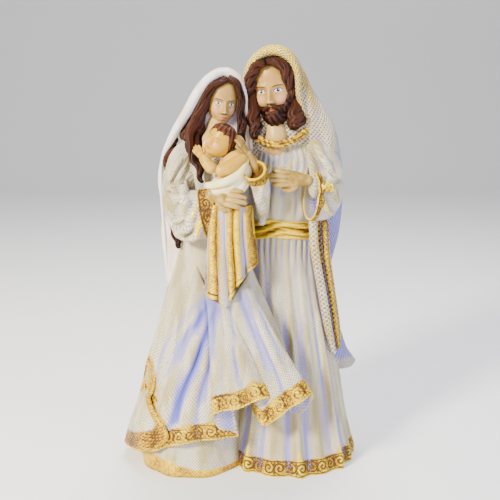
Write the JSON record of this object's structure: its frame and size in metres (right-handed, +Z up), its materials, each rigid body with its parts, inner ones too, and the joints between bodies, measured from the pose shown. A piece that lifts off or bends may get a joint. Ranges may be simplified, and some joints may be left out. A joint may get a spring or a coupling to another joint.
{
  "type": "holy family statue",
  "caption": "Small cast figure group in draped robes: a veiled mother holding a child, with the father standing at her shoulder, on a flat underside.",
  "frame": {"origin": "middle of the footprint, on the ground under the flat underside", "axes": "+Z up, from the underside to the top of the father's head cloth; the front of both figures faces -Y; +X to the viewer's right, the father's side"},
  "size_m": [0.1212, 0.0726, 0.21],
  "materials": {
    "ivory_paint": "pearl ivory paint over cast resin, satin, with lavender shading in the folds",
    "gold_paint": "dry-brushed gold paint over brown on hems, cuffs, collar, sash and blanket",
    "hair_paint": "dark brown paint with lighter strands, satin",
    "skin_paint": "warm flesh paint, glossy, with painted eyes, brows and lips",
    "white_paint": "white paint on the child's wrap, satin"
  },
  "bodies": {
    "root": {"holy_family_statue": "ivory_paint"}
  },
  "joints": []
}
